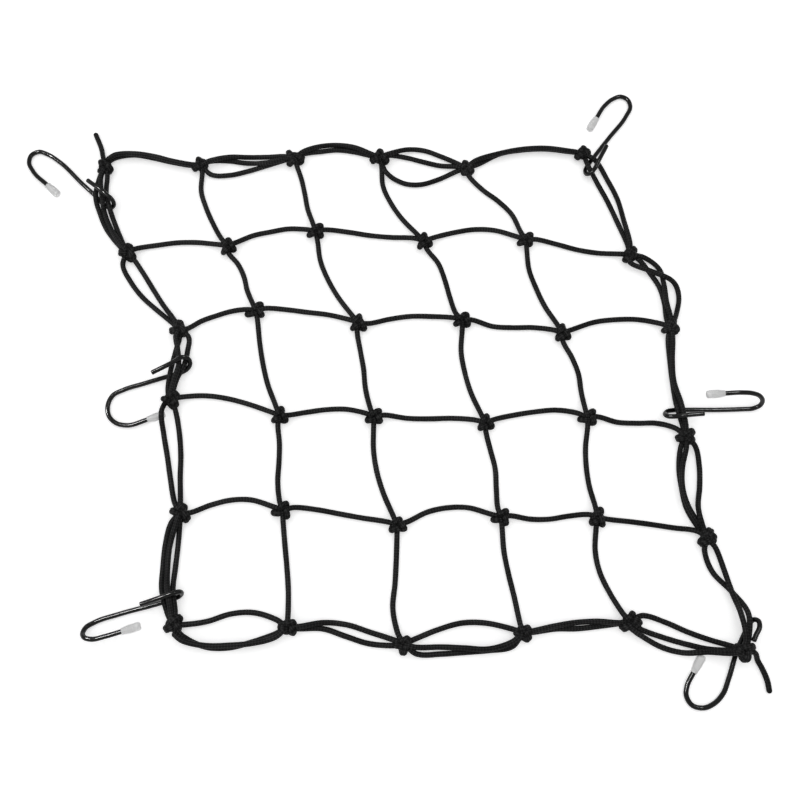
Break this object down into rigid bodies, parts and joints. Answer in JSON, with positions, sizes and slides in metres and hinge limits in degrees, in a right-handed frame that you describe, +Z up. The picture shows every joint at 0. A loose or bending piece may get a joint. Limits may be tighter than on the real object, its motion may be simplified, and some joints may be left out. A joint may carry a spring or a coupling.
{
  "type": "cargo net with hooks",
  "caption": "Square net of knotted elastic cord lying loosely on the floor, its border doubled, with coated S-shaped wire hooks on the border and a plastic cap on each hook's tip.",
  "frame": {"origin": "on the floor, below the middle of the net and its hooks", "axes": "+X to the right and +Y to the far edge as the picture shows the net lying, +Z up"},
  "size_m": [0.5934, 0.5032, 0.0212],
  "materials": {
    "cord": "black braided sheath, matte with a faint sheen",
    "coated_wire": "steel wire with a glossy black coating",
    "milky_plastic": "milky, half clear, ribbed"
  },
  "bodies": {
    "root": {"net": "cord", "hook_tl": "coated_wire", "hook_tr": "coated_wire", "hook_ml": "coated_wire", "hook_mr": "coated_wire", "hook_bl": "coated_wire", "hook_br": "coated_wire", "cap_tl": "milky_plastic", "cap_tr": "milky_plastic", "cap_ml": "milky_plastic", "cap_mr": "milky_plastic", "cap_bl": "milky_plastic", "cap_br": "milky_plastic"}
  },
  "joints": []
}
